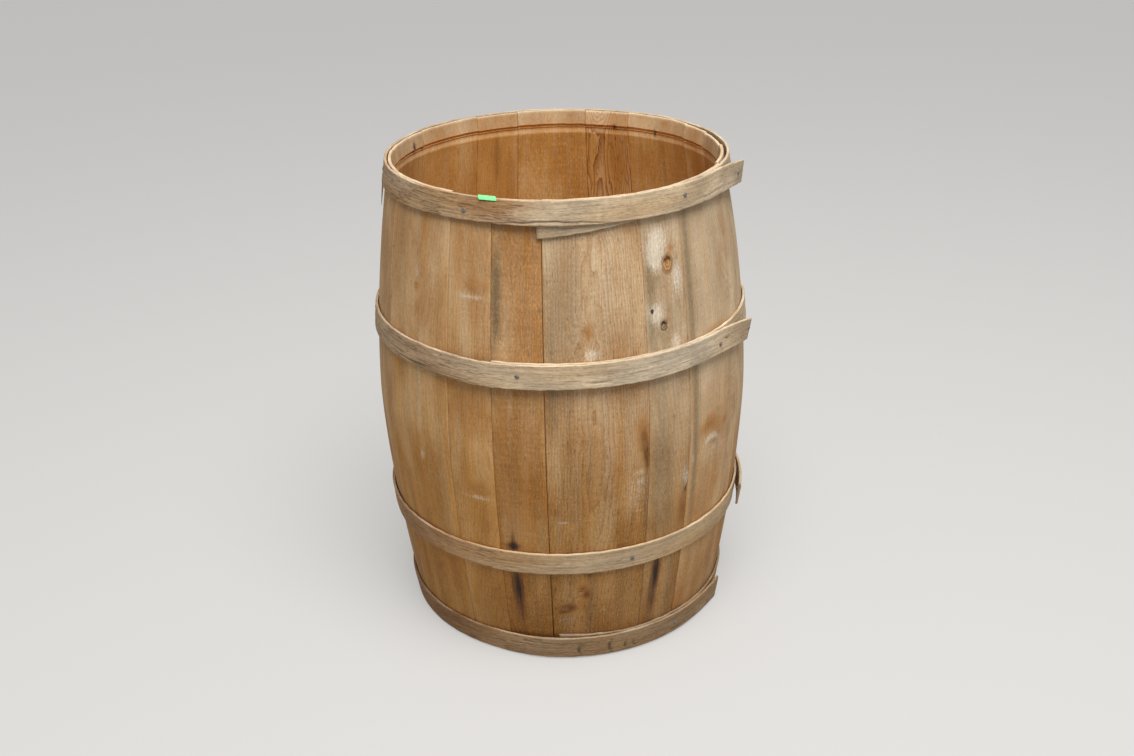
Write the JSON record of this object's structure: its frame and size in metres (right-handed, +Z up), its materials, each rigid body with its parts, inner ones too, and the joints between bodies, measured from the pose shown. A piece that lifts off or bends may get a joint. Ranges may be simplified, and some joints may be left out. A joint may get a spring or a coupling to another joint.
{
  "type": "wooden barrel planter",
  "caption": "Open-topped wooden slack barrel for use as a planter, with bowed staves of uneven width, lapped split-wood hoops held by nails, and a boarded bottom.",
  "frame": {"origin": "on the barrel's axis at the level of the floor it stands on, at the staves' lower ends", "axes": "+Z up along the barrel's axis, -Y towards the front (the side with the open stave joint), +X to the right"},
  "size_m": [0.5713, 0.5747, 0.7247],
  "materials": {
    "stave_wood": "bare aged softwood, warm tan, greyer where weathered",
    "hoop_wood": "split hardwood strip, weathered grey-tan",
    "head_wood": "bare aged softwood boards",
    "nail_steel": "dull grey wire nail with light rust",
    "tag_paper": "blank bright green paper sticker"
  },
  "bodies": {
    "root": {"stave_01": "stave_wood", "stave_02": "stave_wood", "stave_03": "stave_wood", "stave_04": "stave_wood", "stave_05": "stave_wood", "stave_06": "stave_wood", "stave_07": "stave_wood", "stave_08": "stave_wood", "stave_09": "stave_wood", "stave_10": "stave_wood", "stave_11": "stave_wood", "stave_12": "stave_wood", "stave_13": "stave_wood", "stave_14": "stave_wood", "stave_15": "stave_wood", "stave_16": "stave_wood", "top_hoop": "hoop_wood", "bulge_hoop": "hoop_wood", "lower_hoop": "hoop_wood", "bottom_hoop": "hoop_wood", "bottom_head_board_1": "head_wood", "bottom_head_board_2": "head_wood", "bottom_head_board_3": "head_wood", "top_hoop_nail_1": "nail_steel", "top_hoop_nail_2": "nail_steel", "top_hoop_nail_3": "nail_steel", "top_hoop_nail_4": "nail_steel", "top_hoop_nail_5": "nail_steel", "top_hoop_nail_6": "nail_steel", "top_hoop_nail_7": "nail_steel", "bulge_hoop_nail_1": "nail_steel", "bulge_hoop_nail_2": "nail_steel", "bulge_hoop_nail_3": "nail_steel", "bulge_hoop_nail_4": "nail_steel", "bulge_hoop_nail_5": "nail_steel", "bulge_hoop_nail_6": "nail_steel", "bulge_hoop_nail_7": "nail_steel", "lower_hoop_nail_1": "nail_steel", "lower_hoop_nail_2": "nail_steel", "lower_hoop_nail_3": "nail_steel", "lower_hoop_nail_4": "nail_steel", "lower_hoop_nail_5": "nail_steel", "lower_hoop_nail_6": "nail_steel", "bottom_hoop_nail_1": "nail_steel", "bottom_hoop_nail_2": "nail_steel", "bottom_hoop_nail_3": "nail_steel", "bottom_hoop_nail_4": "nail_steel", "bottom_hoop_nail_5": "nail_steel", "blank_tag": "tag_paper"}
  },
  "joints": []
}
